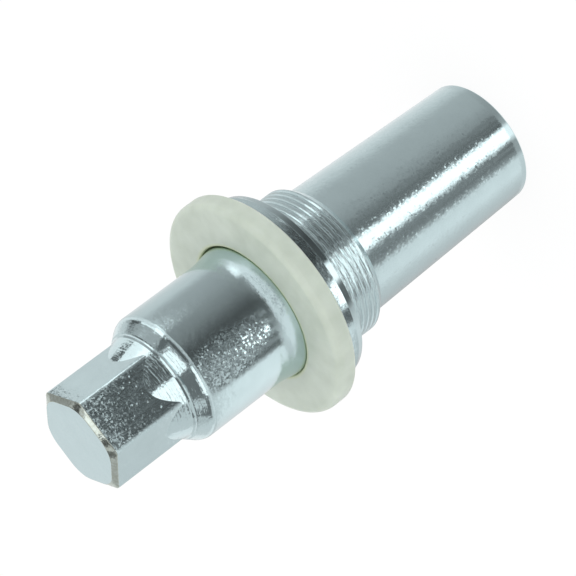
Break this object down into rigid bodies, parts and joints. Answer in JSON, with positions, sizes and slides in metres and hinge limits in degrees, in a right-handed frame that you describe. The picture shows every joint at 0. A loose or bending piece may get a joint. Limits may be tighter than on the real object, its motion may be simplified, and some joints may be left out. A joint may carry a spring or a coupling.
{
  "type": "hinge pin",
  "caption": "Zinc-plated steel hinge pin with a hexagon drive end, a round journal, a flange that carries a nylon washer, a grooved collar and a tapered barrel.",
  "frame": {"origin": "centre of the barrel's flat end, on the pin's axis, where the pin stands", "axes": "+Z along the pin's axis towards the hexagon drive end; two of the hexagon's flats face -Y and +Y"},
  "size_m": [0.027, 0.027, 0.0611],
  "materials": {
    "zinc_plated_steel": "blue-white zinc plating over turned steel, bright, with a fine grainy texture",
    "nylon": "natural off-white nylon, slightly translucent, satin"
  },
  "bodies": {
    "root": {"pin": "zinc_plated_steel", "washer": "nylon"}
  },
  "joints": []
}
